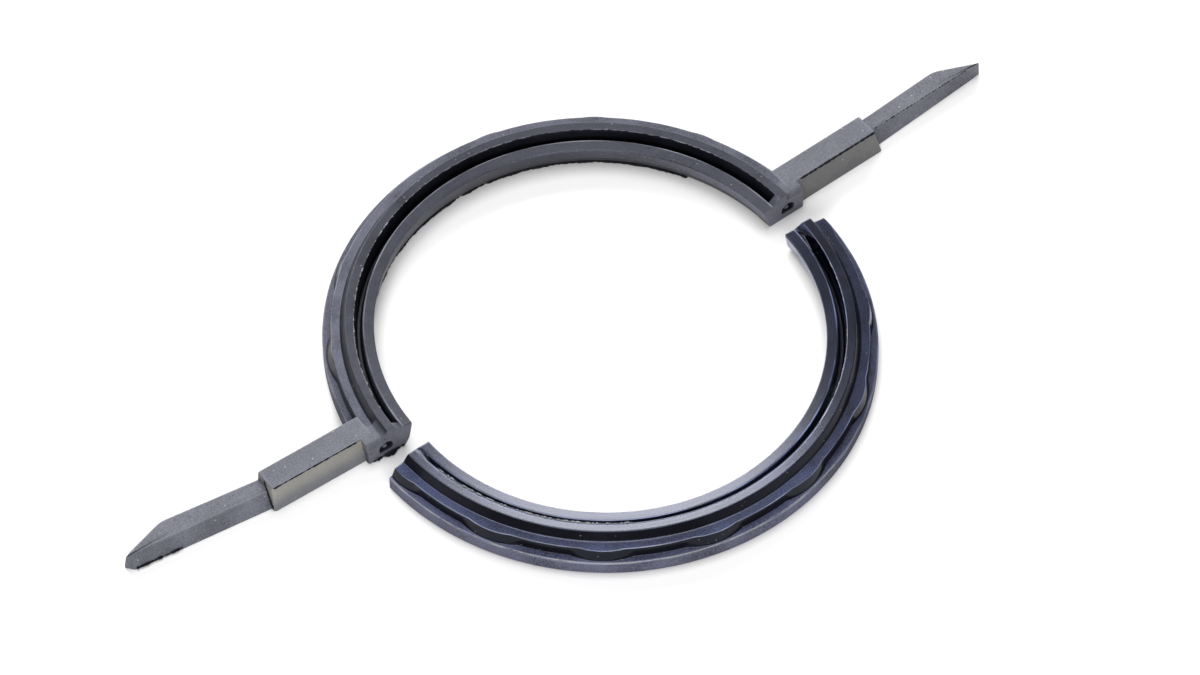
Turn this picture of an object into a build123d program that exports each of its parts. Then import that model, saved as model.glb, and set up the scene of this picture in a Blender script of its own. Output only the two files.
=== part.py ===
from build123d import *
import math
import os

# Rear main crankshaft seal, moulded in rubber and split in two so that it goes round the shaft.
# The cap half carries two side seal ears, which fill the slots beside the bearing cap.
# The block half is the plain half that lies in the cylinder block.
# Millimetres. The halves lie flat on their plain undersides with the stepped, grooved side up (+Z).
# X runs along the parting line and Y points to the cap half. The origin is on the surface that
# both halves lie on, midway between the centres of the two halves.

# Widths of the ring's section, one after the other from the shaft outwards
lip_tip_r = 37.6
lip_width = 1.9
groove_mouth = 1.5
crown_width = 1.55
crown_slope = 0.9
middle_width = 1.55
wall_draft = 0.15
rim_width = 1.35

# Heights of the ring's section: each step on top of the last one, the lip's drop below the crown,
# and how much lower the inner edges of crown and lip are than their outer edges
rim_height = 2.75
middle_step = 2.05
crown_step = 1.6
crown_fall = 0.2
lip_drop = 1.2
lip_fall = 0.25

# Bore side of the lip: a short contact band, a fine trim line and the leaning back wall
contact_band = 0.4
trim_line_depth = 0.15
trim_line_height = 0.3
back_lean = 0.6
heel_height = 1.3
heel_bevel = 0.75

# Run-out groove behind the lip
groove_depth = 3.6
groove_floor = 0.8
end_web = 1.25
groove_stop = 1.0
groove_taper = 4.0
taper_point = 0.2

# Locating lobes round the step under the middle land, drafted more on the cap half
lobe_count = 8
lobe_pitch = 24.7
lobe_arc_r = 12.2
lobe_rise = 0.9
cap_lobe_draft = 0.9
block_lobe_draft = 0.6

# How far each end stops short of the half's own diameter, in degrees
cap_end_angle = 1.5
block_end_angle = 1.0

# Cuts at the block half's ends: the lean of both end faces back towards the rim, in degrees,
# and the trimmed-back upper corner at one end
block_end_lean = 5.5
trim_back = 0.5

# Ears of the cap half, measured outwards from the ring's centre and back from the end face
pad_overhang = 0.4
pad_corner_r = 0.5
pad_top_r = 1.2
ear_setback = 1.0
ear_draft = 1.2
ear_width = 4.4
block_reach = 64.4
block_end_draft = 0.5
blade_height = 3.2
blade_root_width = 3.0
blade_cut_length = 8.4
blade_flare = 1.5
blade_draft = 0.9
blade_tip = 0.9
blade_root_overlap = 1.0

# The two soft blades: how far each reaches past its block, and its lean away from the block half in degrees
right_blade_length = 26.0
right_blade_lean = 2.3
left_blade_length = 27.2
left_blade_lean = 4.0

# Round recess in each end face of the cap half, with the stub of a broken pin
recess_r = 1.4
recess_depth = 1.4
recess_height = 2.05
recess_inset = 2.6
stub_r = 0.65
stub_top_r = 0.4
stub_length = 1.1

# How the halves are laid out: the distance between their centres, and the cap half's turn in degrees
laid_spread = 3.45
cap_turn = 0.8

# Places that follow from the sizes above
mouth_inner_r = lip_tip_r + lip_width
mouth_outer_r = mouth_inner_r + groove_mouth
crown_r = mouth_outer_r + crown_width
crown_foot_r = crown_r + crown_slope
middle_r = crown_foot_r + middle_width
wall_foot_r = middle_r + wall_draft
rim_r = wall_foot_r + rim_width
middle_z = rim_height + middle_step
crown_z = middle_z + crown_step
crown_inner_z = crown_z - crown_fall
lip_z = crown_z - lip_drop
lip_tip_z = lip_z - lip_fall
back_r = lip_tip_r + back_lean
heel_r = back_r + heel_bevel
groove_r = (mouth_inner_r + mouth_outer_r) / 2
floor_z = crown_z - groove_depth
end_pivot_r = lip_tip_r - lip_width
pad_r = wall_foot_r + pad_overhang
ear_top_setback = ear_setback + ear_draft
ear_back = ear_top_setback + ear_width


def ring_section():
    """Closed section of the ring, radius along X and height along Z, before the groove is cut."""
    band_z = lip_tip_z - contact_band
    outline = Polyline(
        (heel_r, 0),
        (rim_r, 0),
        (rim_r, rim_height),
        (wall_foot_r, rim_height),
        (middle_r, middle_z),
        (crown_foot_r, middle_z),
        (crown_r, crown_z),
        (mouth_outer_r, crown_inner_z),
        (mouth_inner_r, lip_z),
        (lip_tip_r, lip_tip_z),
        (lip_tip_r, band_z),
        (lip_tip_r + trim_line_depth, band_z - trim_line_height / 2),
        (lip_tip_r, band_z - trim_line_height),
        (back_r, heel_height),
        (heel_r, 0),
    )
    return Plane.XZ * make_face(outline)


def groove_section(share=1.0):
    """Section of the groove with its narrow floor, drawn in towards the lip as share goes to nothing."""
    top = crown_z + lip_drop
    inner_foot = (groove_r - groove_floor / 2, floor_z)
    outline = Polyline(
        inner_foot,
        (mouth_inner_r, lip_z),
        (mouth_inner_r, top),
        (mouth_outer_r, top),
        (mouth_outer_r, crown_inner_z),
        (groove_r + groove_floor / 2, floor_z),
        inner_foot,
    )
    full = Plane.XZ * make_face(outline)
    pinned = Pos(mouth_inner_r, 0, top) * scale(Pos(-mouth_inner_r, 0, -top) * full, share)
    return pinned


def swept(section, start, sweep):
    """A section carried round the half's own centre from an angle, through a sweep, in degrees."""
    return Rot(0, 0, start) * revolve(section, Axis.Z, sweep)


def arc_angle(length, radius):
    """Angle in degrees that a length along the ring spans at a radius."""
    return math.degrees(length / radius)


def lobes(lobe_draft):
    """Shallow scallops on the middle step: slices of drafted discs that stand proud of its wall."""
    centre_r = wall_foot_r + lobe_rise - lobe_arc_r
    step = middle_z - rim_height
    disc = Pos(centre_r, 0, rim_height + step / 2) * Cone(lobe_arc_r, lobe_arc_r - lobe_draft, step)
    bore = Pos(0, 0, rim_height + step / 2) * Cylinder(crown_foot_r, step)
    slice_of_disc = disc - bore
    first = 90 - lobe_pitch * (lobe_count - 1) / 2
    return [Rot(0, 0, first + lobe_pitch * i) * slice_of_disc for i in range(lobe_count)]


def plain_half(end_angle, lobe_draft):
    """Half a ring with its lobes, its ends cut square at end_angle short of the diameter."""
    sweep = 180 - 2 * end_angle
    wedge = swept(Plane.XZ * Pos(rim_r, crown_z) * Rectangle(2 * rim_r, 2 * rim_r), end_angle, sweep)
    half = swept(ring_section(), end_angle, sweep)
    for lobe in lobes(lobe_draft):
        half += lobe & wedge
    return half


def closed_groove(end_angle):
    """Groove that a web of rubber closes just behind each end face."""
    start = end_angle + arc_angle(end_web, groove_r)
    return swept(groove_section(), start, 180 - 2 * start)


def run_out_groove(end_angle):
    """Groove that narrows to a point against the lip before each end face."""
    tip = end_angle + arc_angle(groove_stop, groove_r)
    full = tip + arc_angle(groove_taper, groove_r)
    tail = loft([Rot(0, 0, tip) * groove_section(taper_point), Rot(0, 0, full) * groove_section()])
    return swept(groove_section(), full, 180 - 2 * full) + tail + mirror(tail, Plane.YZ)


def end_clearance():
    """Space in front of an end face, from just inside the lip to past the rim."""
    width = rim_r - end_pivot_r + lip_width
    return Pos(end_pivot_r, 0, 0) * Box(width, width, crown_z, align=(Align.MIN, Align.MAX, Align.MIN))


def trimmed_corner():
    """Wedge trimmed off the steps outside the groove, nothing at the rim's top and most at the crown."""
    above = crown_z + lip_drop
    back = trim_back * (above - rim_height) / (crown_z - rim_height)
    front = -trim_back
    outline = Polyline((0, rim_height), (back, above), (front, above), (front, rim_height), (0, rim_height))
    return Plane((mouth_inner_r, 0, 0), x_dir=(0, 1, 0), z_dir=(1, 0, 0)) * extrude(make_face(outline), rim_r)


def leaned(cut):
    """A cut at the block half's end, leaned back towards the rim about a point just inside the lip."""
    pivot = Pos(end_pivot_r, 0, 0)
    return Rot(0, 0, block_end_angle) * pivot * Rot(0, 0, block_end_lean) * pivot.inverse() * cut


def drafted(bottom, top, height):
    """Solid between an outline on the surface and the like outline at a height."""
    return loft([make_face(bottom), Pos(0, 0, height) * make_face(top)], ruled=True)


def ear_outline(setback, reach):
    """Plan of the end pad and the thick block, its near side at a setback and its end at a reach."""
    corner = min(pad_corner_r, ear_setback / 2)
    sides = Polyline(
        (pad_r + corner, setback),
        (reach, setback),
        (reach, ear_back),
        (crown_r, ear_back),
        (crown_r, 0),
        (pad_r, 0),
        (pad_r, setback - corner),
    )
    hollow = RadiusArc((pad_r, setback - corner), (pad_r + corner, setback), corner)
    return sides + hollow


def blade_outline(length, lean, draft):
    """Plan of the thin blade: a straight tongue with a long slanting cut on its far side."""
    near_slope = math.tan(math.radians(lean - blade_flare))
    far_slope = math.tan(math.radians(lean))
    knee = length - blade_cut_length
    near_root = ear_back - blade_root_width - draft
    near_tip = near_root + length * near_slope
    return Polyline(
        (block_reach - blade_root_overlap, near_root),
        (block_reach, near_root),
        (block_reach + length, near_tip),
        (block_reach + length - blade_tip, near_tip + draft + blade_tip),
        (block_reach + knee, ear_back + knee * far_slope),
        (block_reach, ear_back),
        (block_reach - blade_root_overlap, ear_back),
        (block_reach - blade_root_overlap, near_root),
    )


def ear(blade_length, blade_lean):
    """End pad, thick block and thin blade at the right end, X outwards and Y back from the end face."""
    foot = ear_outline(ear_setback, block_reach + block_end_draft)
    body = drafted(foot, ear_outline(ear_top_setback, block_reach), middle_z)
    top_edges = body.edges().filter_by(Axis.X).group_by(Axis.Z)[-1]
    body = fillet(top_edges.group_by(Axis.Y)[0], pad_top_r)
    blade_foot = blade_outline(blade_length, blade_lean, blade_draft)
    blade = drafted(blade_foot, blade_outline(blade_length, blade_lean, 0), blade_height)
    return body + blade


def end_recess():
    """Blind round recess in the end face, less the broken stub that is left standing in it."""
    centre = pad_r - recess_inset
    mouth = Plane((centre, 0, recess_height), x_dir=(1, 0, 0), z_dir=(0, 1, 0))
    hole = mouth * extrude(Circle(recess_r), recess_depth)
    stub = Cone(stub_r, stub_top_r, stub_length, align=(Align.CENTER, Align.CENTER, Align.MIN))
    floor = Plane((centre, recess_depth, recess_height), x_dir=(1, 0, 0), z_dir=(0, -1, 0))
    return hole - floor * stub


def cap_half_with_ears():
    """Half with an ear at each end, the groove closed by webs and a recess in each end face."""
    half = plain_half(cap_end_angle, cap_lobe_draft)
    right_ear = Rot(0, 0, cap_end_angle) * ear(right_blade_length, right_blade_lean)
    left_ear = Rot(0, 0, cap_end_angle) * ear(left_blade_length, left_blade_lean)
    half = half + right_ear + mirror(left_ear, Plane.YZ)
    recess = Rot(0, 0, cap_end_angle) * end_recess()
    half = half - closed_groove(cap_end_angle) - recess - mirror(recess, Plane.YZ)
    return Pos(0, laid_spread / 2, 0) * Rot(0, 0, cap_turn) * half


def block_half():
    """Plain half, turned to face the cap half, with the groove run out and one upper corner trimmed."""
    half = plain_half(block_end_angle, block_lobe_draft) - run_out_groove(block_end_angle)
    end = leaned(end_clearance())
    half = half - end - mirror(end, Plane.YZ) - leaned(trimmed_corner())
    return Pos(0, -laid_spread / 2, 0) * Rot(0, 0, 180) * half


os.makedirs("parts", exist_ok=True)
for make in (cap_half_with_ears, block_half):
    export_step(make(), f"parts/{make.__name__}.step")
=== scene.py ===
import bpy
import math
import numpy as np
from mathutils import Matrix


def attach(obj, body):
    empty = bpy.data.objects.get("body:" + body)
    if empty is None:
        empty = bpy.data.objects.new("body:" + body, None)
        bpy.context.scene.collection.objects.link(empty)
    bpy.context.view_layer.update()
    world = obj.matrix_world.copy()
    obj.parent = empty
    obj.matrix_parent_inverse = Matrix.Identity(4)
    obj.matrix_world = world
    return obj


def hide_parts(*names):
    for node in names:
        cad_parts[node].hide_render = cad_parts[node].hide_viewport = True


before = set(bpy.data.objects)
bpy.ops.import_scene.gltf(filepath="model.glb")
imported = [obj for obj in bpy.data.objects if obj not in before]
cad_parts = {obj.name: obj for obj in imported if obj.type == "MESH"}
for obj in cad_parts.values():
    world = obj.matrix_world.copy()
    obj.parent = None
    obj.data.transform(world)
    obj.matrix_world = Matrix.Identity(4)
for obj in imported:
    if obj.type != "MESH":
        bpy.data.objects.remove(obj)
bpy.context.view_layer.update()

# The ring of the cap half
# A half ring of black rubber, pressed to shape in a hot mould with its two ears in one shot.
# Its stepped face has a deep groove behind the lip, and webs of rubber close the groove at both ends.

MM = 0.001

# Sizes are in millimetres and angles in degrees. These are the section's radii, from the lip out to the rim.
LIP_R = 37.6
MOUTH_INNER_R = 39.5
MOUTH_OUTER_R = 41.0
GROOVE_R = (MOUTH_INNER_R + MOUTH_OUTER_R) / 2
CROWN_R = 42.55
CROWN_FOOT_R = 43.45
MIDDLE_R = 45.0
WALL_FOOT_R = 45.15
RIM_R = 46.5

# Heights of the rim, the groove's floor, the middle step, the groove's inner and outer mouth, and the crown
RIM_Z, FLOOR_Z, MIDDLE_Z, LIP_Z, MOUTH_Z, CROWN_Z = 2.75, 2.8, 4.8, 5.2, 6.2, 6.4

# The section's corners from the heel out to the rim and back over the lip.
# Each has a name, its radius, its height and how far its rounding reaches.
SECTION = (
    ("heel", 38.95, 0.0, 0.25),
    ("rim foot", RIM_R, 0.0, 0.2),
    ("rim edge", RIM_R, RIM_Z, 0.22),
    ("wall foot", WALL_FOOT_R, RIM_Z, 0.07),
    ("wall top", MIDDLE_R, MIDDLE_Z, 0.09),
    ("crown foot", CROWN_FOOT_R, MIDDLE_Z, 0.12),
    ("crown edge", CROWN_R, CROWN_Z, 0.14),
    ("outer mouth", MOUTH_OUTER_R, MOUTH_Z, 0.1),
    ("outer floor", 40.65, FLOOR_Z, 0.3),
    ("inner floor", 39.85, FLOOR_Z, 0.3),
    ("inner mouth", MOUTH_INNER_R, LIP_Z, 0.2),
    ("lip edge", LIP_R, 4.95, 0.12),
    ("band foot", LIP_R, 4.75, 0.08),
    ("trim line", 37.75, 4.65, 0.06),
    ("trim foot", LIP_R, 4.5, 0.08),
    ("heel band", 38.05, 2.1, 0.05),
    ("heel edge", 38.2, 1.3, 0.3),
)
CORNER_NAMES = [row[0] for row in SECTION]


def at_corners(corner, *names):
    """Columns that belong to the corners of those names."""
    return np.isin(corner, [CORNER_NAMES.index(name) for name in names])


def rounded(outline, reach, steps=5):
    """Closed outline with each corner turned into a parabola between a and b, which lie on its two edges.
    At t from 0 to 1 it is (1-t) squared times a, plus 2t(1-t) times the corner, plus t squared times b.
    a and b lie at the reach, but within a share of the edge. A guard beyond each keeps the edge flat.
    Returns the points and, for each, the number of its corner."""
    most, guard_most, guard_reach = 0.35, 0.45, 1.5
    corner = np.asarray(outline, float)
    reach = np.broadcast_to(np.asarray(reach, float), len(corner))[:, None]
    back = np.roll(corner, 1, 0) - corner
    ahead = np.roll(corner, -1, 0) - corner
    back_length = np.linalg.norm(back, axis=1, keepdims=True)
    ahead_length = np.linalg.norm(ahead, axis=1, keepdims=True)
    a = corner + back / back_length * np.minimum(reach, most * back_length)
    b = corner + ahead / ahead_length * np.minimum(reach, most * ahead_length)
    guard_a = corner + back / back_length * np.minimum(guard_reach * reach, guard_most * back_length)
    guard_b = corner + ahead / ahead_length * np.minimum(guard_reach * reach, guard_most * ahead_length)
    t = np.linspace(0, 1, steps)[None, :, None]
    curve = (1 - t) ** 2 * a[:, None] + 2 * t * (1 - t) * corner[:, None] + t ** 2 * b[:, None]
    points = np.concatenate([guard_a[:, None], curve, guard_b[:, None]], axis=1)
    return points.reshape(-1, 2), np.repeat(np.arange(len(corner)), steps + 2)


def step_rise(height):
    """How far up the step's wall a height is: nothing at the rim's top and one at the middle step."""
    return np.clip((height - RIM_Z) / (MIDDLE_Z - RIM_Z), 0, 1)


def wall_r(height):
    """Radius of the step's wall, which leans in along a straight line from its foot to its top."""
    return WALL_FOOT_R + (MIDDLE_R - WALL_FOOT_R) * step_rise(height)


# Lobes on the step's wall: their number, spacing and radius, and how far each stands out at its foot
LOBE_COUNT = 8
LOBE_PITCH = 24.7
LOBE_R = 12.2
LOBE_RISE = 0.9


def lobe_bulge(theta, height, draft):
    """How far the lobes stand out of the step's wall, and nothing between them.
    A lobe is part of a disc of radius R, less the draft at its top, with its centre at distance c from the
    ring's centre. At angle p from its middle it ends at c cos p plus the root of R squared less (c sin p)
    squared, and the wall's radius is taken off that."""
    pitch = math.radians(LOBE_PITCH)
    outermost = (LOBE_COUNT - 1) / 2
    phase = (theta - math.pi / 2) / pitch
    nearest = np.clip(np.round(phase - 0.5) + 0.5, -outermost, outermost)
    p = (phase - nearest) * pitch
    disc_r = LOBE_R - draft * step_rise(height)
    centre_r = WALL_FOOT_R + LOBE_RISE - LOBE_R
    under = np.maximum(disc_r ** 2 - (centre_r * np.sin(p)) ** 2, 0)
    return np.maximum(centre_r * np.cos(p) + np.sqrt(under) - wall_r(height), 0)


# Rows round the ring near an end, as distances from the end face, and the even rows between both ends' rows
NEAR_ROWS = np.array([0.12, 0.3, 0.6, 1.0, 1.23, 1.26, 1.6, 2.0, 2.4, 2.8, 3.2, 3.6, 4.0, 4.4, 4.99, 5.02])
EVEN_FROM = 5.3
EVEN_ROWS = 440

# An end face's first rows round its edge, as distances in and back, and its rows from there to the recess
EDGE_ROWS = ((0.04, 0.04), (0.12, 0.0))
FACE_ROWS = 12

# Radius of the pads at the ends, the middle of a recess as radius and height, and how far in from an end
# the ring is still drawn along where the end face stands back
PAD_R = 46.6
RECESS_CENTRE = np.array([42.95, 2.05])
RUN_IN = 4.0


def half_ring(end_angle, lobe_draft, share_of, pad_of, lag_of, end_rows):
    """Closed grid of a half ring: the rounded section carried round the centre, then drawn in over both ends.
    share_of(theta) scales the groove towards the lip, pad_of(theta) pushes the step's wall out to the pad,
    lag_of(side, radius, height) is how far an end face stands back, and end_rows are a recess's rows."""
    outline, corner = rounded([row[1:3] for row in SECTION], [row[3] for row in SECTION])
    first = math.radians(end_angle)
    last = math.pi - first
    near = NEAR_ROWS / GROOVE_R
    middle = np.linspace(first + EVEN_FROM / GROOVE_R, last - EVEN_FROM / GROOVE_R, EVEN_ROWS)
    theta = np.concatenate([first + near, middle, last - near[::-1]])[:, None]

    r = np.broadcast_to(outline[:, 0], (len(theta), len(outline))).copy()
    z = np.broadcast_to(outline[:, 1], r.shape).copy()

    share = share_of(theta)
    in_groove = at_corners(corner, "outer mouth", "outer floor", "inner floor", "inner mouth")
    in_groove &= (outline[:, 0] <= MOUTH_OUTER_R) & (outline[:, 0] >= MOUTH_INNER_R)
    pin_z = CROWN_Z + CROWN_Z - LIP_Z
    drawn_r = MOUTH_INNER_R + share * (r - MOUTH_INNER_R)
    body_top = LIP_Z + (MOUTH_Z - LIP_Z) * (drawn_r - MOUTH_INNER_R) / (MOUTH_OUTER_R - MOUTH_INNER_R)
    drawn_z = np.minimum(pin_z + share * (z - pin_z), body_top)
    r = np.where(in_groove, drawn_r, r)
    z = np.where(in_groove & (share < 1), drawn_z, z)

    pad = PAD_R - wall_r(z)
    bulge = np.maximum(lobe_bulge(theta, z, lobe_draft), pad * pad_of(theta))
    r = np.where(at_corners(corner, "wall foot", "wall top"), r + bulge, r)

    from_first = r * (theta - first)
    from_last = r * (last - theta)
    push_first = lag_of(0, r, z) * np.clip(1 - from_first / RUN_IN, 0, 1) / r
    push_last = lag_of(1, r, z) * np.clip(1 - from_last / RUN_IN, 0, 1) / r
    angle = theta + push_first - push_last

    def end_face(side, edge_r, edge_z):
        """Rows from the section's edge in to the middle of the end face, and down into a recess.
        Each point stays on the straight line from the edge to the recess's middle."""
        edge = np.stack([edge_r, edge_z], -1)
        toward = RECESS_CENTRE - edge
        distance = np.linalg.norm(toward, axis=1, keepdims=True)
        unit = toward / distance
        rows = [(edge + unit * inset, depth) for inset, depth in EDGE_ROWS]
        inside = distance - EDGE_ROWS[-1][0]
        hole_r = end_rows[0][0]
        for share_in in np.linspace(0.1, 1, FACE_ROWS - len(EDGE_ROWS)):
            radius = inside - (inside - hole_r) * share_in
            rows.append((RECESS_CENTRE - unit * radius, 0.0))
        for radius, depth in end_rows[1:]:
            rows.append((RECESS_CENTRE - unit * radius, depth))
        where_r = np.array([row[0][:, 0] for row in rows])
        where_z = np.array([row[0][:, 1] for row in rows])
        depths = np.array([np.full(len(edge_r), row[1]) for row in rows])
        back = depths + lag_of(side, where_r, where_z)
        turn = first + back / where_r if side == 0 else last - back / where_r
        return where_r, where_z, turn

    first_r, first_z, first_angle = end_face(0, r[0], z[0])
    last_r, last_z, last_angle = end_face(1, r[-1], z[-1])
    all_r = np.concatenate([first_r[::-1], r, last_r])
    all_z = np.concatenate([first_z[::-1], z, last_z])
    all_angle = np.concatenate([first_angle[::-1], angle, last_angle])
    return np.stack([all_r * np.cos(all_angle), all_r * np.sin(all_angle), all_z], -1), corner


def laid(points, turn, shift):
    """Points turned by an angle about the vertical through the half's centre, then moved along Y."""
    c, s = math.cos(math.radians(turn)), math.sin(math.radians(turn))
    x, y, z = points[..., 0], points[..., 1], points[..., 2]
    return np.stack([c * x - s * y, s * x + c * y + shift, z], -1)


def closed_grid(name, points, material, marks=(), sharp=38):
    """Object from a grid of points whose columns join round and whose end rows shrink to one point each.
    Its faces are turned over if a dot (b cross c), summed over its triangles, is negative. Edges sharper than
    the angle stay sharp and the rest is smooth.
    marks are (attribute name, values per column or per row and column) pairs that the material reads."""
    rows, columns = points.shape[:2]
    inner = points[1:-1].reshape(-1, 3)
    vertices = np.concatenate([inner, points[:1, :1].reshape(1, 3), points[-1:, :1].reshape(1, 3)]) * MM
    index = np.arange((rows - 2) * columns).reshape(rows - 2, columns)
    beside = np.roll(index, -1, axis=1)
    quads = np.stack([index[:-1], beside[:-1], beside[1:], index[1:]], -1).reshape(-1, 4)
    start, end = len(inner), len(inner) + 1
    fan_start = np.stack([np.full(columns, start), beside[0], index[0]], -1)
    fan_end = np.stack([np.full(columns, end), index[-1], beside[-1]], -1)
    corners = np.concatenate([quads.ravel(), fan_start.ravel(), fan_end.ravel()])
    tri = np.concatenate([quads[:, [0, 1, 2]], quads[:, [0, 2, 3]], fan_start, fan_end])
    a, b, c = (vertices[tri[:, i]] for i in range(3))
    inside_out = np.einsum("ij,ij->i", a, np.cross(b, c)).sum() < 0
    sizes = np.concatenate([np.full(len(quads), 4), np.full(2 * columns, 3)])
    starts = np.concatenate([[0], np.cumsum(sizes)[:-1]])
    mesh = bpy.data.meshes.new(name)
    mesh.vertices.add(len(vertices))
    mesh.vertices.foreach_set("co", vertices.ravel())
    mesh.loops.add(len(corners))
    mesh.loops.foreach_set("vertex_index", corners)
    mesh.polygons.add(len(sizes))
    mesh.polygons.foreach_set("loop_start", starts)
    mesh.update(calc_edges=True)
    mesh.validate()
    if inside_out:
        mesh.flip_normals()
    mesh.shade_smooth()
    mesh.set_sharp_from_angle(angle=math.radians(sharp))
    mesh.materials.append(material)
    for label, values in marks:
        full = np.broadcast_to(values, (rows, columns))
        spread = np.concatenate([full[1:-1].ravel(), full[0, :1], full[-1, :1]]).astype(np.float32)
        mesh.attributes.new(label, "FLOAT", "POINT").data.foreach_set("value", spread)
    piece = bpy.data.objects.new(name, mesh)
    bpy.context.scene.collection.objects.link(piece)
    return piece


def node_group(name, inputs, outputs):
    """Empty node group with named inputs (name, socket type, default) and outputs (name, socket type)."""
    group = bpy.data.node_groups.new(name, "ShaderNodeTree")
    for label, kind, default in inputs:
        socket = group.interface.new_socket(name=label, in_out="INPUT", socket_type=kind)
        socket.default_value = default
    for label, kind in outputs:
        group.interface.new_socket(name=label, in_out="OUTPUT", socket_type=kind)
    return group, group.nodes.new("NodeGroupInput"), group.nodes.new("NodeGroupOutput")


def add(tree, kind, links=(), **settings):
    """Node of a kind in a tree, with its settings and with inputs from (socket, value) pairs."""
    node = tree.nodes.new(kind)
    for key, value in settings.items():
        setattr(node, key, value)
    for socket, value in links:
        if isinstance(value, bpy.types.NodeSocket):
            tree.links.new(value, node.inputs[socket])
        else:
            node.inputs[socket].default_value = value
    return node


def ramp(tree, value, low, high, out_low=0.0, out_high=1.0):
    """Value carried smoothly from one range to another and held at its ends."""
    return add(tree, "ShaderNodeMapRange", ((0, value), (1, low), (2, high), (3, out_low), (4, out_high)),
               interpolation_type="SMOOTHSTEP").outputs[0]


def mix_colour(tree, amount, a, b):
    """Colour a changed to colour b by an amount."""
    return add(tree, "ShaderNodeMix", ((0, amount), (6, a), (7, b)), data_type="RGBA").outputs[2]


def maths(tree, operation, a, b):
    """Sum, product or the like of two values."""
    return add(tree, "ShaderNodeMath", ((0, a), (1, b)), operation=operation).outputs[0]


def mark(tree, label):
    """Value of a mesh attribute."""
    return add(tree, "ShaderNodeAttribute", attribute_name=label).outputs["Fac"]


# Sizes of the textures as cells in a metre, and of the streaks as cells in a millimetre round and over
CLOUD_SCALE, RIPPLE_SCALE, SPECK_SCALE, GRAIN_SCALE = 90.0, 420.0, 1500.0, 4200.0
STREAK_ROUND, STREAK_OVER = 0.11, 1.7

# The bloom's cover is made of cloud, streaks and grain in these shares, and the pads keep at least this much
CLOUD_SHARE, STREAK_SHARE, GRAIN_SHARE = 0.4, 0.1, 0.7
LEAST_PAD_COVER = 0.55

# How much of the bloom steep walls lose as painted shade, how much of the oil they lose,
# and how much duller the rim's side is
WALL_PAINTED_SHADE, WALL_DRY, SIDE_DULL = 0.97, 0.93, 0.45

# Where the painted shade further round the ring starts and ends, and where a panel's foot and top colours
# of painted light start, in metres up
SHADE_ROUND_FROM, SHADE_ROUND_TO = 68.0, 90.0
PANEL_LOW, PANEL_HIGH = 0.0008, 0.0036

DUST_COLOUR = (0.42, 0.42, 0.4, 1)
# Pale colour of edges, partly wear and partly painted highlight
WEAR_AND_HIGHLIGHT_COLOUR = (0.32, 0.33, 0.38, 1)
# Near-black painted shade for the groove, the trim line, the heel and the recesses
PAINTED_SHADE_COLOUR = (0.0015, 0.0015, 0.003, 1)


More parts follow.
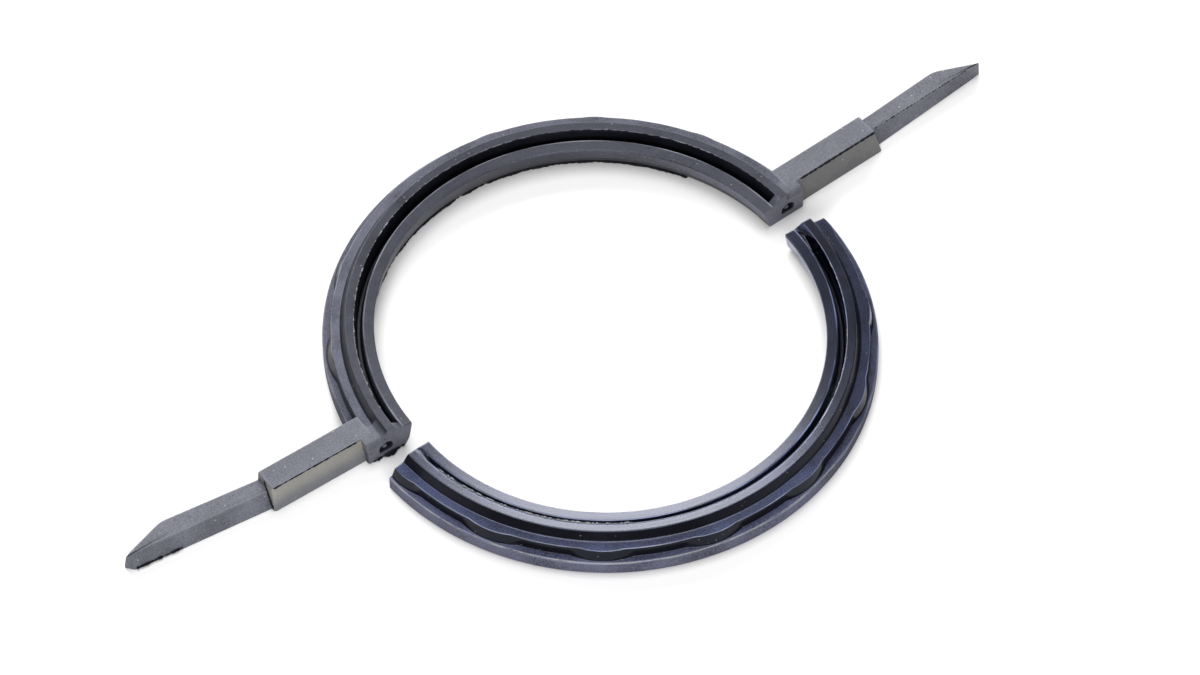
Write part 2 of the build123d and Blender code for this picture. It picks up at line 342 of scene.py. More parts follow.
def rubber_look():
    """Rubber's surface: cloudy bloom, streaks round the ring, fine grain, dust, edges pale partly from wear
    and partly as painted highlight, and hollows darkened as painted shade. The colour goes from Dark to Bloom
    by the bloom's amount times its cover. Steep walls keep little of it and Top Shade takes some off top
    faces, both as painted shade, and some is taken off further round the ring as painted shade too. The rim
    gets more, partly for its duller finish and partly as painted light. Streaks are noise drawn out along the
    ring by the marks along and across. Pads have a colour of their own, and the ears' near-side panels carry
    painted light in colours of their own, darker towards the foot."""
    group, given, result = node_group(
        "rubber_look",
        (("Dark", "NodeSocketColor", (0.01, 0.01, 0.014, 1)),
         ("Bloom", "NodeSocketColor", (0.08, 0.08, 0.1, 1)),
         ("Panel", "NodeSocketColor", (0.2, 0.2, 0.2, 1)),
         ("Panel Foot", "NodeSocketColor", (0.2, 0.2, 0.2, 1)),
         ("Bloom Amount", "NodeSocketFloat", 0.5),
         ("Shine Roughness", "NodeSocketFloat", 0.3),
         ("Dull Roughness", "NodeSocketFloat", 0.6),
         ("Dust", "NodeSocketFloat", 0.5),
         ("Edge Wear", "NodeSocketFloat", 0.5),
         ("Grain Height", "NodeSocketFloat", 0.3),
         ("Oil", "NodeSocketFloat", 0.0),
         ("Rim Bloom", "NodeSocketFloat", 0.0),
         ("Top Shade", "NodeSocketFloat", 0.0),
         ("Fade", "NodeSocketFloat", 0.0),
         ("Pad", "NodeSocketColor", (0.1, 0.1, 0.12, 1))),
        (("Base Color", "NodeSocketColor"), ("Roughness", "NodeSocketFloat"),
         ("Coat Weight", "NodeSocketFloat"), ("Normal", "NodeSocketVector")))
    setting = given.outputs

    def plus(a, b):
        """Sum of two values."""
        return maths(group, "ADD", a, b)

    def less(a, b):
        """First value less the second."""
        return maths(group, "SUBTRACT", a, b)

    def times(a, b):
        """Product of two values."""
        return maths(group, "MULTIPLY", a, b)

    place = add(group, "ShaderNodeTexCoord").outputs["Object"]
    drawn_out = add(group, "ShaderNodeCombineXYZ", ((0, times(mark(group, "along"), STREAK_ROUND)),
                                                    (1, times(mark(group, "across"), STREAK_OVER))))
    cloud = add(group, "ShaderNodeTexNoise", (("Vector", place), ("Scale", CLOUD_SCALE), ("Detail", 5.0),
                                              ("Roughness", 0.6))).outputs[0]
    grain = add(group, "ShaderNodeTexNoise", (("Vector", place), ("Scale", GRAIN_SCALE),
                                              ("Detail", 2.0))).outputs[0]
    ripple = add(group, "ShaderNodeTexNoise", (("Vector", place), ("Scale", RIPPLE_SCALE),
                                               ("Detail", 2.0))).outputs[0]
    streak = add(group, "ShaderNodeTexNoise", (("Vector", drawn_out.outputs[0]), ("Scale", 1.0),
                                               ("Detail", 4.0))).outputs[0]
    specks = add(group, "ShaderNodeTexVoronoi", (("Vector", place), ("Scale", SPECK_SCALE),
                                                 ("Randomness", 1.0)))

    patchy = ramp(group, cloud, 0.35, 0.68)
    streaky = ramp(group, streak, 0.35, 0.7)
    grainy = ramp(group, grain, 0.15, 0.85)
    cover = plus(times(patchy, CLOUD_SHARE), plus(times(streaky, STREAK_SHARE), times(grainy, GRAIN_SHARE)))

    # The rim gets more bloom, partly for its duller finish and partly as painted light
    amount = plus(setting["Bloom Amount"], times(mark(group, "rim"), setting["Rim Bloom"]))
    # Steep walls lose nearly all their bloom: painted shade
    after_wall_shade = less(1.0, times(mark(group, "wall"), WALL_PAINTED_SHADE))
    # Top faces lose bloom by Top Shade: painted shade
    after_top_shade = less(after_wall_shade, times(mark(group, "top"), setting["Top Shade"]))
    # Further round the ring a share of the bloom is taken off: painted shade
    shade_round = ramp(group, mark(group, "along"), SHADE_ROUND_FROM, SHADE_ROUND_TO)
    after_round_shade = less(1.0, times(shade_round, setting["Fade"]))
    bloom = times(times(amount, times(cover, after_round_shade)), after_top_shade)
    bloomed = mix_colour(group, bloom, setting["Dark"], setting["Bloom"])

    pad_cover = ramp(group, cover, 0.0, 1.0, LEAST_PAD_COVER, 1.0)
    pad = mix_colour(group, pad_cover, setting["Dark"], setting["Pad"])
    with_pads = mix_colour(group, mark(group, "pad"), bloomed, pad)

    # The ears' near-side panels carry painted light, darker towards their foot
    height = add(group, "ShaderNodeSeparateXYZ", ((0, place),)).outputs[2]
    up_panel = ramp(group, height, PANEL_LOW, PANEL_HIGH)
    clean_panel = mix_colour(group, up_panel, setting["Panel Foot"], setting["Panel"])
    panel = mix_colour(group, times(cover, 0.4), clean_panel, setting["Dark"])
    with_panels = mix_colour(group, mark(group, "panel"), with_pads, panel)

    chance = add(group, "ShaderNodeSeparateColor", ((0, specks.outputs["Color"]),)).outputs[0]
    picked = ramp(group, chance, 0.93, 0.95)
    dot = ramp(group, specks.outputs["Distance"], 0.12, 0.24, 1.0, 0.0)
    dust = times(times(picked, dot), setting["Dust"])
    dusty = mix_colour(group, dust, with_panels, DUST_COLOUR)
    # Edges turn pale, partly from wear and partly as painted highlight
    worn_and_lit = times(times(mark(group, "edge"), streaky), setting["Edge Wear"])
    with_pale_edges = mix_colour(group, worn_and_lit, dusty, WEAR_AND_HIGHLIGHT_COLOUR)
    # Hollows darkened to near black: painted shade
    with_painted_shade = mix_colour(group, mark(group, "painted_shade"), with_pale_edges, PAINTED_SHADE_COLOUR)

    shine = add(group, "ShaderNodeMix", ((0, patchy), (2, setting["Shine Roughness"]),
                                         (3, setting["Dull Roughness"]))).outputs[0]
    rough = plus(shine, times(mark(group, "side"), SIDE_DULL))

    off_wall_oil = less(1.0, times(mark(group, "wall"), WALL_DRY))
    oily = less(off_wall_oil, mark(group, "side"))
    spread = ramp(group, streak, 0.3, 0.5, 0.82, 1.0)
    film = times(times(oily, setting["Oil"]), spread)

    relief = plus(times(grain, 0.4), ripple)
    bump = add(group, "ShaderNodeBump", (("Strength", setting["Grain Height"]), ("Distance", 0.00016),
                                         ("Height", relief))).outputs[0]
    for socket, value in (("Base Color", with_painted_shade), ("Roughness", rough), ("Coat Weight", film),
                          ("Normal", bump)):
        group.links.new(value, result.inputs[socket])
    return group


RUBBER_LOOK = rubber_look()


def rubber(name, sheen=(1, 1, 1, 1), gloss=0.5, **settings):
    """Material of one rubber piece: the rubber look with its settings on a shader, under a film of oil.
    sheen is the colour of its reflections and gloss their strength without the oil."""
    material = bpy.data.materials.new(name)
    material.use_nodes = True
    tree = material.node_tree
    shader = tree.nodes["Principled BSDF"]
    shader.inputs["Coat Roughness"].default_value = 0.15
    shader.inputs["Coat Tint"].default_value = sheen
    shader.inputs["Specular Tint"].default_value = sheen
    shader.inputs["Specular IOR Level"].default_value = gloss
    look = add(tree, "ShaderNodeGroup", node_tree=RUBBER_LOOK)
    for key, value in settings.items():
        look.inputs[key.replace("_", " ")].default_value = value
    for socket in ("Base Color", "Roughness", "Coat Weight", "Normal"):
        tree.links.new(look.outputs[socket], shader.inputs[socket])
    return material


CAP_RUBBER = rubber(
    "cap_half_rubber", sheen=(0.8, 0.84, 1, 1), gloss=0.33, Dark=(0.007, 0.007, 0.01, 1),
    Pad=(0.13, 0.134, 0.16, 1), Bloom=(0.118, 0.122, 0.165, 1), Bloom_Amount=0.95, Top_Shade=0.75,
    Shine_Roughness=0.26, Dull_Roughness=0.46, Dust=0.4, Edge_Wear=0.6, Grain_Height=0.35)

# The halves lie with their centres this far apart, and the cap half is turned a little.
# Each of its ends stops short of its diameter by the end angle, with a web and a pad of these lengths.
LAID_SPREAD = 3.45
CAP_TURN = 0.8
CAP_PLACE = (CAP_TURN, LAID_SPREAD / 2)
CAP_END_ANGLE = 1.5
CAP_WEB = 1.245
PAD_LENGTH = 3.0
CAP_LOBE_DRAFT = 0.9


def cap_share(theta):
    """Full groove between the end webs and none in them."""
    web = math.radians(CAP_END_ANGLE) + CAP_WEB / GROOVE_R
    return ((theta > web) & (theta < math.pi - web)).astype(float)


def cap_pad(theta):
    """Full pad near both ends and none elsewhere."""
    reach = math.radians(CAP_END_ANGLE) + PAD_LENGTH / WALL_FOOT_R
    return ((theta < reach) | (theta > math.pi - reach)).astype(float)


def cap_lag(side, r, z):
    """The pad's top front edge falls back on a quarter circle, in the same way at both ends.
    It does so by the radius less the root of the radius squared less h squared, h the height into the round.
    The round grows over half a millimetre outside the crown's edge and ends at the middle step."""
    radius = 1.2
    h = np.clip(z - (MIDDLE_Z - radius), 0, radius * 0.999)
    round_off = radius - np.sqrt(radius ** 2 - h ** 2)
    outside = np.clip((r - CROWN_R) / 0.5, 0, 1)
    return round_off * outside * (z < MIDDLE_Z + 0.05)


# Rows of the recess as radius and depth: two at its mouth, five on its wall and floor, five on a broken stub
RECESS_ROWS = ((1.5, 0.0), (1.42, 0.04),
               (1.4, 0.3), (1.4, 1.0), (1.35, 1.35), (1.1, 1.4), (0.66, 1.4),
               (0.6, 1.3), (0.5, 0.8), (0.42, 0.4), (0.3, 0.3), (0.0, 0.32))
MOUTH_ROWS, STUB_ROWS = 2, 5

# How far the pads' own colour runs from the ends
PAD_MARK = 4.6


def section_marks(points, corner, end_rows, pad_length):
    """Marks for the material: painted shade, edges pale from wear and painted highlight, the rim, top faces,
    the pads and the steps' walls. The groove's floor and outer wall get painted shade, and so do the heel,
    the trim line and a recess. Top faces, the inner wall over the middle of the ring and the steps' walls
    lose bloom as painted shade.
    along is the distance round the ring and across is the distance over the section. The rows of the end
    faces have neither, so that no streak runs over them. A pad length of 0 means no pads and no recesses."""
    rows, columns = points.shape[:2]
    each = columns // len(SECTION)
    step = np.arange(columns) % each
    halfway, last_step = each // 2, each - 1

    def face(name):
        """Columns on the flat of the section from the corner of that name to the next."""
        first = CORNER_NAMES.index(name)
        after = (corner == first) & (step > halfway)
        before = (corner == first + 1) & (step < halfway)
        return (after | before).astype(float)

    end_face = FACE_ROWS + len(end_rows) - 1
    ring = np.zeros((rows, 1))
    ring[end_face:rows - end_face] = 1
    recess = np.zeros((rows, 1))
    end_shade = np.zeros((rows, 1))
    if pad_length:
        in_recess = len(end_rows) - MOUTH_ROWS
        # A recess gets painted shade
        recess[STUB_ROWS:in_recess] = 0.8
        recess[rows - in_recess:rows - STUB_ROWS] = 0.8
        end_shade = 0.45 * (1 - ring)

    middle = points[rows // 2]
    across = np.concatenate([[0], np.cumsum(np.linalg.norm(np.diff(middle, axis=0), axis=1))])
    along = np.arctan2(points[..., 1], points[..., 0]) * GROOVE_R
    from_end = np.minimum(along, math.pi * GROOVE_R - along)
    mid_ring = np.clip(2 * np.sin(along / GROOVE_R) - 0.8, 0, 1)

    pad = (from_end < pad_length) * at_corners(corner, "rim edge", "wall foot", "wall top", "crown foot")
    # Painted shade darkens the groove's floor, the foot of its outer wall, the heel and the trim line
    floor = at_corners(corner, "outer floor", "inner floor")
    down_wall = 0.9 * (at_corners(corner, "outer mouth") & (step >= last_step - 1))
    heel = at_corners(corner, "heel edge", "heel") | (at_corners(corner, "heel band") & (step > halfway))
    under_lip = 0.85 * (heel | at_corners(corner, "trim line"))
    painted_shade = np.maximum(np.maximum(floor, down_wall), under_lip)
    edge = at_corners(corner, "rim edge", "wall top", "outer mouth", "inner mouth")
    edge = edge & (step > 0) & (step < last_step)
    # Top faces, and the inner wall over the middle of the ring, take painted shade from Top Shade
    top = np.maximum(np.maximum(face("crown edge"), face("inner mouth")), face("trim foot") * mid_ring)
    return (("painted_shade", np.maximum(ring * painted_shade, recess)),
            ("edge", ring * edge),
            ("rim", ring * np.maximum(face("rim foot"), face("rim edge"))),
            ("side", ring * np.maximum(face("rim foot"), 0.5 * face("rim edge"))),
            ("top", ring * top),
            ("pad", np.maximum(pad, end_shade)),
            ("wall", ring * np.maximum(face("wall foot"), face("crown foot"))),
            ("across", ring * across),
            ("along", ring * along))


cap_points, cap_corner = half_ring(CAP_END_ANGLE, CAP_LOBE_DRAFT, cap_share, cap_pad, cap_lag, RECESS_ROWS)
cap_ring = closed_grid("cap_ring", laid(cap_points, *CAP_PLACE), CAP_RUBBER,
                       section_marks(cap_points, cap_corner, RECESS_ROWS, PAD_MARK))
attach(cap_ring, "root")
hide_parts("cap_half_with_ears")

# The two ears of the cap half
# Side seals of the same rubber stand out from the ring's ends: a thick block, then a thin slanting blade.
# They were moulded with the ring, and the soft blades lie a little bent, each in its own way.

# Places out along X from the ring's centre and back from the end face. A block's near side leans back
# from its foot to its top, and its foot stands out a little at its far end.
BLOCK_ROOT = 44.3
BLOCK_REACH = 64.4
BLOCK_NEAR_FOOT = 1.0
BLOCK_NEAR_TOP = 2.2
BLOCK_FAR_FLARE = 0.5
EAR_BACK = 6.6

# A block's top is a hair above the middle step
BLOCK_TOP = 4.803
BLADE_TOP = 3.2
EAR_EDGE_R = 0.16


def tapered_slab(foot, top, height, corner_reach):
    """Closed grid of a slab between two outlines: straight walls, a rounded top edge and flat ends.
    At angle a round the top edge a point has moved in, square to the outline, by the edge's radius times
    (1 - cos a), and has come up by the radius times sin a."""
    low, _ = rounded(foot, corner_reach)
    high, _ = rounded(top, corner_reach)
    tangent = np.roll(high, -1, 0) - np.roll(high, 1, 0)
    normal = np.stack([-tangent[:, 1], tangent[:, 0]], -1) / np.linalg.norm(tangent, axis=1, keepdims=True)
    centre = high.mean(0)
    if np.einsum("ij,ij->i", normal, centre - high).sum() < 0:
        normal = -normal

    middle = low.mean(0)
    rows = [(middle + (low - middle) * share, 0.0) for share in (0.0, 0.5, 0.98)]
    wall_start = len(rows)
    for share in (0.0, 0.15, 0.6, 0.97):
        rise = share * (height - EAR_EDGE_R) / height
        rows.append((low + (high - low) * rise, rise * height))
    edge_start = len(rows)
    for a in np.linspace(0, math.pi / 2, 6):
        rise = (height - EAR_EDGE_R + EAR_EDGE_R * math.sin(a)) / height
        inward = normal * EAR_EDGE_R * (1 - math.cos(a))
        rows.append((low + (high - low) * rise + inward, rise * height))
    top_start = len(rows)
    rim = rows[-1][0]
    rows += [(centre + (rim - centre) * share, height) for share in (0.95, 0.6, 0.3, 0.0)]

    xy = np.array([row[0] for row in rows])
    z = np.array([np.full(len(low), row[1]) for row in rows])
    points = np.concatenate([xy, z[..., None]], -1)
    number = np.arange(len(rows))[:, None]
    on_wall = (number >= wall_start) & (number < edge_start)
    on_edge = (number >= edge_start) & (number < top_start)
    near = low[:, 1] < low[:, 1].mean()
    return points, (("edge", on_edge.astype(float)), ("panel", (near & on_wall).astype(float)))


def at_end(points, side):
    """Points given out along X and back from the end face, put at the right (0) or left (1) end.
    They are turned by the end angle, mirrored in X for the left end, and laid with the half."""
    c, s = math.cos(math.radians(CAP_END_ANGLE)), math.sin(math.radians(CAP_END_ANGLE))
    x, y, z = points[..., 0], points[..., 1], points[..., 2]
    moved = np.stack([c * x - s * y, s * x + c * y, z], -1)
    if side:
        moved[..., 0] = -moved[..., 0]
    return laid(moved, *CAP_PLACE)


# Outlines of the right blade and then the left, out from the block's end and back from the end face.
# Each goes from the near side's root to its end, the nose, the slanting cut's two ends and the far root.
BLADE_FOOT = (((-0.9, 2.3), (24.3, 3.6), (25.9, 3.8), (25.2, 4.5), (17.7, 7.3), (-0.9, 6.55)),
              ((-0.9, 1.75), (25.9, 4.5), (27.2, 6.1), (26.2, 6.9), (18.4, 8.5), (-0.9, 6.15)))
BLADE_TOP_EDGE = (((-0.9, 3.7), (23.8, 3.85), (25.6, 3.75), (24.7, 4.15), (17.7, 7.3), (-0.9, 6.55)),
                  ((-0.9, 3.3), (24.4, 5.6), (27.1, 5.6), (25.8, 6.2), (18.4, 8.5), (-0.9, 6.15)))
BLOCK_CORNER_REACH = (0.3, 0.6, 0.3, 0.3)
BLADE_CORNER_REACH = (0.1, 0.7, 0.4, 0.4, 1.2, 0.1)

EAR_LOOK = dict(
    sheen=(0.85, 0.88, 1, 1), Dark=(0.028, 0.028, 0.034, 1), Bloom=(0.178, 0.185, 0.22, 1),
    Bloom_Amount=0.83, Shine_Roughness=0.45, Dull_Roughness=0.62, Dust=0.8, Edge_Wear=0.5, Grain_Height=0.4)
# Panel colours are painted light on the ears' near sides: much lighter on the left ear, darker towards the
# foot
RIGHT_EAR = rubber(
    "right_ear_rubber", Panel=(0.131, 0.131, 0.125, 1), Panel_Foot=(0.122, 0.122, 0.119, 1), **EAR_LOOK)
LEFT_EAR = rubber(
    "left_ear_rubber", Panel=(0.295, 0.287, 0.25, 1), Panel_Foot=(0.16, 0.165, 0.18, 1), **EAR_LOOK)

for side, word, look, near_flare in ((0, "right", RIGHT_EAR, 1.0), (1, "left", LEFT_EAR, 0.5)):
    block_foot = ((BLOCK_ROOT, BLOCK_NEAR_FOOT), (BLOCK_REACH + near_flare, BLOCK_NEAR_FOOT),
                  (BLOCK_REACH + BLOCK_FAR_FLARE, EAR_BACK), (BLOCK_ROOT, EAR_BACK))
    block_top = ((BLOCK_ROOT, BLOCK_NEAR_TOP), (BLOCK_REACH, BLOCK_NEAR_TOP),
                 (BLOCK_REACH, EAR_BACK), (BLOCK_ROOT, EAR_BACK))
    block, block_marks = tapered_slab(block_foot, block_top, BLOCK_TOP, BLOCK_CORNER_REACH)
    blade_foot = np.array(BLADE_FOOT[side]) + (BLOCK_REACH, 0)
    blade_top = np.array(BLADE_TOP_EDGE[side]) + (BLOCK_REACH, 0)
    blade, blade_marks = tapered_slab(blade_foot, blade_top, BLADE_TOP, BLADE_CORNER_REACH)
    for part, points, marks in (("block", block, block_marks), ("blade", blade, blade_marks[:1])):
        ear = closed_grid(f"{word}_ear_{part}", at_end(points, side), look, marks)
        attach(ear, "root")
        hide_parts("cap_half_with_ears")

# Flash of the cap half, and a painted shadow line
# Thin ragged rubber that squeezed out between the mould's parts and was never trimmed off.
# It stands along the ears' edges, the groove's mouth and the heel, and lies torn under the left end.
# A dark thread like it down the left block's end is painted shadow where the block meets the blade.


def uneven(count, seed, knots):
    """Random values from 0 to 1: random knots joined by straight lines, plus a finer set at a third."""
    source = np.random.default_rng(seed)
    at = np.linspace(0, 1, count)
    coarse = np.interp(at, np.linspace(0, 1, knots), source.random(knots))
    fine = np.interp(at, np.linspace(0, 1, 4 * knots), source.random(4 * knots))
    return 0.67 * coarse + 0.33 * fine


def ragged_thread(name, path, width, seed, material, knots=40, bare=0.0):
    """Thread along a path, round in section. Its radius is the width times n to the power 0.6.
    n is how far an uneven value lies above bare, as a share of the most it can, and at least 0.02.
    Each end runs out to a point over four steps."""
    count = len(path)
    n = np.clip((uneven(count, seed, knots) - bare) / (1 - bare), 0.02, 1) ** 0.6
    radius = width * n * np.minimum(1, np.minimum(np.arange(count), np.arange(count)[::-1]) / 4)
    tangent = np.gradient(path, axis=0)
    side = np.stack([-tangent[:, 1], tangent[:, 0], np.zeros(count)], -1)
    side /= np.linalg.norm(side, axis=1, keepdims=True)
    turn = np.linspace(0, 2 * math.pi, 8, endpoint=False)
    up = np.array((0.0, 0.0, 1.0))
    offset = side[:, None] * np.cos(turn)[None, :, None] + up * np.sin(turn)[None, :, None]
    thread = closed_grid(name, path[:, None] + offset * radius[:, None, None], material, sharp=180)
    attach(thread, "root")
    return thread


def straight(start, end, count=260):
    """Points on a straight line."""
    return np.linspace(start, end, count)


def round_arc(radius, height, first, last, count=900):
    """Points on a level arc round the half's centre between two angles."""
    a = np.radians(np.linspace(first, last, count))
    return np.stack([radius * np.cos(a), radius * np.sin(a), np.full(count, height)], -1)


# Dark material of the flash, also used for a painted shadow line
DARK_FLASH_AND_SHADOW = rubber(
    "dark_flash_and_shadow", gloss=0.08, Dark=(0.006, 0.006, 0.008, 1), Bloom=(0.02, 0.02, 0.025, 1),
    Bloom_Amount=0.4, Shine_Roughness=0.5, Dull_Roughness=0.6, Dust=0.0)
# Pale material of the flash, also used for a painted highlight line on the rim
PALE_FLASH_AND_HIGHLIGHT = rubber(
    "pale_flash_and_highlight", Dark=(0.16, 0.16, 0.17, 1), Bloom=(0.4, 0.4, 0.4, 1),
    Bloom_Amount=0.7, Shine_Roughness=0.4, Dull_Roughness=0.6, Dust=0.0)

block_seam = straight((47.4, 2.1, 4.76), (64.3, 2.1, 4.76))
blade_seam = straight((65.6, 3.72, BLADE_TOP - 0.02), (87.0, 3.85, BLADE_TOP - 0.02))
blade_foot_seam = straight((81.5, 3.6, 0.34), (90.2, 4.5, 0.34))
# A dark line down the left block's end: painted shadow where the block meets the blade
block_end_shadow_line = straight((64.5, 4.6, 4.6), (64.95, 1.3, 0.4), 80)
cap_mouth = laid(round_arc(MOUTH_OUTER_R, 6.19, 5, 175), *CAP_PLACE)
cap_far_mouth = laid(round_arc(41.02, 6.22, 100, 172), *CAP_PLACE)
cap_heel = laid(round_arc(38.58, 0.42, 28, 158), *CAP_PLACE)
cap_flash_and_shadow = [
    ragged_thread("right_block_flash", at_end(block_seam, 0), 0.3, 3, DARK_FLASH_AND_SHADOW),
    ragged_thread("left_block_flash", at_end(block_seam, 1), 0.2, 8, DARK_FLASH_AND_SHADOW, bare=0.15),
    ragged_thread("right_blade_flash", at_end(blade_seam, 0), 0.16, 5, DARK_FLASH_AND_SHADOW, knots=70, bare=0.42),
    ragged_thread("left_blade_foot_flash", at_end(blade_foot_seam, 1), 0.32, 9, DARK_FLASH_AND_SHADOW,
                  knots=30, bare=0.25),
    ragged_thread("left_block_end_painted_shadow", at_end(block_end_shadow_line, 1), 0.26, 10, DARK_FLASH_AND_SHADOW, knots=20),
    ragged_thread("cap_mouth_flash", cap_mouth, 0.14, 11, DARK_FLASH_AND_SHADOW, knots=260, bare=0.35),
    ragged_thread("cap_mouth_pale_flash", cap_far_mouth, 0.16, 12, PALE_FLASH_AND_HIGHLIGHT, knots=110, bare=0.62),
    ragged_thread("cap_heel_flash", cap_heel, 0.4, 14, DARK_FLASH_AND_SHADOW, knots=60, bare=0.1),
]


def torn_skirt(name, inner, reach, seed, thickness, material):
    """Torn sheet on the floor from a line out to an uneven edge. Its columns run out from the line and back.
    It goes out by the reach times (0.35 + 0.65 n), n uneven, times the power 0.6 of a half sine wave along
    the line. Its thickness falls by 0.6 of itself towards its outer edge."""
    count = len(inner)
    n = 0.35 + 0.65 * uneven(count, seed, 9)
    out = reach * n * np.sin(np.linspace(0.12, math.pi - 0.12, count)) ** 0.6
    turn = np.linspace(0, 2 * math.pi, 16, endpoint=False)
    along_out = 0.5 + 0.5 * np.cos(turn)
    up = thickness * (0.5 + 0.5 * np.sin(turn)) * (1 - 0.6 * along_out)
    outwards = np.array((0.0, -1.0, 0.0))
    points = inner[:, None] + outwards * (along_out[None, :, None] * out[:, None, None])
    points[..., 2] += up[None]
    points[0], points[-1] = points[0].mean(0), points[-1].mean(0)
    skirt = closed_grid(name, points, material, sharp=180)
    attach(skirt, "root")
    return skirt


left_end = laid(straight((-46.6, 1.9, 0.02), (-39.2, 1.3, 0.02), 60), *CAP_PLACE)
cap_flash_and_shadow.append(torn_skirt("left_end_torn_flash", left_end, 1.5, 21, 0.7, DARK_FLASH_AND_SHADOW))

# The block half
# The plain half ring of the same rubber, still oily and shinier. Its groove runs out to a point at each end.
# Its end faces lean back towards the rim, and at one end the upper steps were trimmed off at a slant.

BLOCK_PLACE = (180, -LAID_SPREAD / 2)
BLOCK_END_ANGLE = 1.0
BLOCK_LOBE_DRAFT = 0.6
PLAIN_ROWS = ((1.2, 0.0), (0.8, 0.0), (0.4, 0.0), (0.0, 0.0))

# The groove starts this far from each end face and grows over this length from this share of its size
GROOVE_STOP = 1.0
GROOVE_TAPER = 4.0
POINT_SHARE = 0.2

# Up to this angle the crown stands closer to the lip, and from there on the mouth opens over this angle
CLOSE_MOUTH, OPENING = 0.78, 0.22
CLOSE_UP_TO, OPENS_OVER = 100, 30

# Slope of the end faces and the radius they lean from, and how far back the corner is trimmed at the crown
END_LEAN = math.tan(math.radians(5.5))
LEAN_FROM_R = 35.7
TRIM_BACK = 0.5


def block_share(theta):
    """Share of the groove's size: nothing before its point, then a straight rise to the mouth's own share.
    The mouth's share is the close mouth's up to the first angle, then rises in a straight line to one."""
    tip = math.radians(BLOCK_END_ANGLE) + GROOVE_STOP / GROOVE_R
    inward = (np.minimum(theta, math.pi - theta) - tip) * GROOVE_R / GROOVE_TAPER
    full = CLOSE_MOUTH + OPENING * np.clip((np.degrees(theta) - CLOSE_UP_TO) / OPENS_OVER, 0, 1)
    return np.where(inward < 0, 0.0, np.clip(POINT_SHARE + (1 - POINT_SHARE) * inward, 0, full))


def block_pad(theta):
    """No pads on this half."""
    return np.zeros_like(theta)


def block_lag(side, r, z):
    """An end face leans back by its slope times the distance out, and the first one's corner is trimmed too.
    The trim goes from nothing at the rim's top to all of it at the crown, in a straight line."""
    lean = (r - LEAN_FROM_R) * END_LEAN
    if side:
        return lean
    outside = np.clip((r - GROOVE_R) / 0.5, 0, 1)
    return lean + TRIM_BACK * np.clip((z - RIM_Z) / (CROWN_Z - RIM_Z), 0, 1) * outside


# This half takes painted shade on its top faces and further round the ring
BLOCK_RUBBER = rubber(
    "block_half_rubber", sheen=(0.61, 0.7, 1, 1), gloss=0.17, Dark=(0.003, 0.003, 0.004, 1), Oil=1.0,
    Bloom=(0.116, 0.12, 0.172, 1), Bloom_Amount=0.9, Rim_Bloom=0.45, Top_Shade=0.6, Fade=0.65,
    Shine_Roughness=0.12, Dull_Roughness=0.26, Dust=0.25, Edge_Wear=0.9, Grain_Height=0.04)

block_points, block_corner = half_ring(
    BLOCK_END_ANGLE, BLOCK_LOBE_DRAFT, block_share, block_pad, block_lag, PLAIN_ROWS)
block_ring = closed_grid("block_ring", laid(block_points, *BLOCK_PLACE), BLOCK_RUBBER,
                         section_marks(block_points, block_corner, PLAIN_ROWS, 0))
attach(block_ring, "root")
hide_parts("block_half")

# Pale flash along the groove's mouth, and a pale thread of painted highlight along the rim's top outer edge
block_mouth = laid(round_arc(40.67, 6.13, 10, 60), *BLOCK_PLACE)
block_far_mouth = laid(round_arc(MOUTH_OUTER_R, MOUTH_Z, 100, 174), *BLOCK_PLACE)
block_rim_highlight_line = laid(round_arc(46.34, 2.68, 3, 110), *BLOCK_PLACE)
block_flash_and_highlight = [
    ragged_thread("block_mouth_flash", block_mouth, 0.19, 31, PALE_FLASH_AND_HIGHLIGHT, knots=120, bare=0.42),
    ragged_thread("block_far_mouth_flash", block_far_mouth, 0.1, 32, PALE_FLASH_AND_HIGHLIGHT, knots=120, bare=0.6),
    ragged_thread("block_rim_painted_highlight", block_rim_highlight_line, 0.15, 33, PALE_FLASH_AND_HIGHLIGHT, knots=60),
]

# The studio
# A plain white sheet under the seal, soft lights above, behind and in front of it, and the camera.
# Places and sizes here are in metres.

SHEET_HALF = 3.0
SHEET_Z = -0.0001
sheet_mesh = bpy.data.meshes.new("sheet")
sheet_mesh.from_pydata([(-SHEET_HALF, -SHEET_HALF, SHEET_Z), (SHEET_HALF, -SHEET_HALF, SHEET_Z),
                        (SHEET_HALF, SHEET_HALF, SHEET_Z), (-SHEET_HALF, SHEET_HALF, SHEET_Z)],
                       [], [(0, 1, 2, 3)])
sheet = bpy.data.objects.new("sheet", sheet_mesh)
bpy.context.scene.collection.objects.link(sheet)
paper = bpy.data.materials.new("paper")
paper.use_nodes = True
paper_shader = paper.node_tree.nodes["Principled BSDF"]
paper_shader.inputs["Base Color"].default_value = (0.94, 0.935, 0.93, 1)
paper_shader.inputs["Roughness"].default_value = 0.9
paper_shader.inputs["Specular IOR Level"].default_value = 0.0
paper_shader.inputs["Emission Color"].default_value = (1, 1, 1, 1)
sheet_seen = add(paper.node_tree, "ShaderNodeLightPath").outputs["Is Camera Ray"]
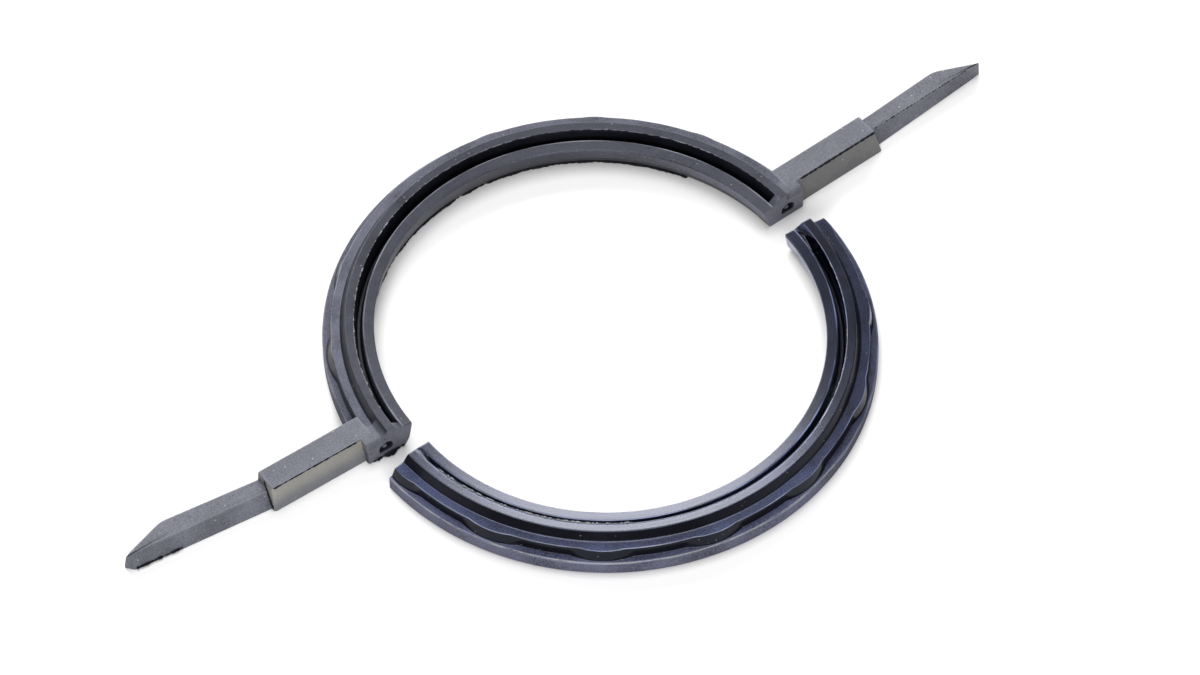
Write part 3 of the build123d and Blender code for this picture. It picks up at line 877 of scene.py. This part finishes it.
paper_glow = maths(paper.node_tree, "MULTIPLY", sheet_seen, 0.02)
paper.node_tree.links.new(paper_glow, paper_shader.inputs["Emission Strength"])
sheet_mesh.materials.append(paper)


def facing(direction):
    """Turn that points an object's own down axis along a direction.
    It tips up by the angle whose tangent is the level part over the fall, then swings round to the
    direction's bearing less a right angle."""
    flat = math.hypot(direction[0], direction[1])
    return math.atan2(flat, -direction[2]), 0, math.atan2(direction[1], direction[0]) - math.pi / 2


def soft_light(name, place, width, height, watts):
    """White rectangular light at a place, turned to the middle of the seal."""
    light = bpy.data.lights.new(name, "AREA")
    light.shape = "RECTANGLE"
    light.size, light.size_y = width, height
    light.energy = watts
    lamp = bpy.data.objects.new(name, light)
    bpy.context.scene.collection.objects.link(lamp)
    lamp.location = place
    lamp.rotation_euler = facing(-np.array(place))


soft_light("overhead", (0.05, 0.15, 0.87), 0.56, 0.56, 4.4)
soft_light("behind", (0.32, 0.76, 0.567), 1.0, 0.36, 10.2)
soft_light("front", (-0.5, -0.7, 0.5), 0.8, 0.4, 7.5)

world = bpy.data.worlds.new("studio")
bpy.context.scene.world = world
world.use_nodes = True
sky = world.node_tree
background = sky.nodes["Background"]
sky_seen = add(sky, "ShaderNodeLightPath").outputs["Is Camera Ray"]
sky_colour = mix_colour(sky, sky_seen, (0.17, 0.17, 0.175, 1), (1, 1, 1, 1))
sky.links.new(sky_colour, background.inputs["Color"])
background.inputs["Strength"].default_value = 1.0

# The point that the camera looks at, and the way from the camera to that point
CAMERA_AIM = np.array((0.81, 1.17, 0.0)) * MM
CAMERA_VIEW = np.array((0.3575, 0.4902, -0.7949))
camera_data = bpy.data.cameras.new("camera")
camera_data.sensor_width = 36
camera_data.lens = 175.05
camera_data.clip_end = 10
camera = bpy.data.objects.new("camera", camera_data)
bpy.context.scene.collection.objects.link(camera)
bpy.context.scene.camera = camera
camera.location = CAMERA_AIM - CAMERA_VIEW
camera.rotation_euler = facing(CAMERA_VIEW)

bpy.context.scene.view_settings.view_transform = "Standard"
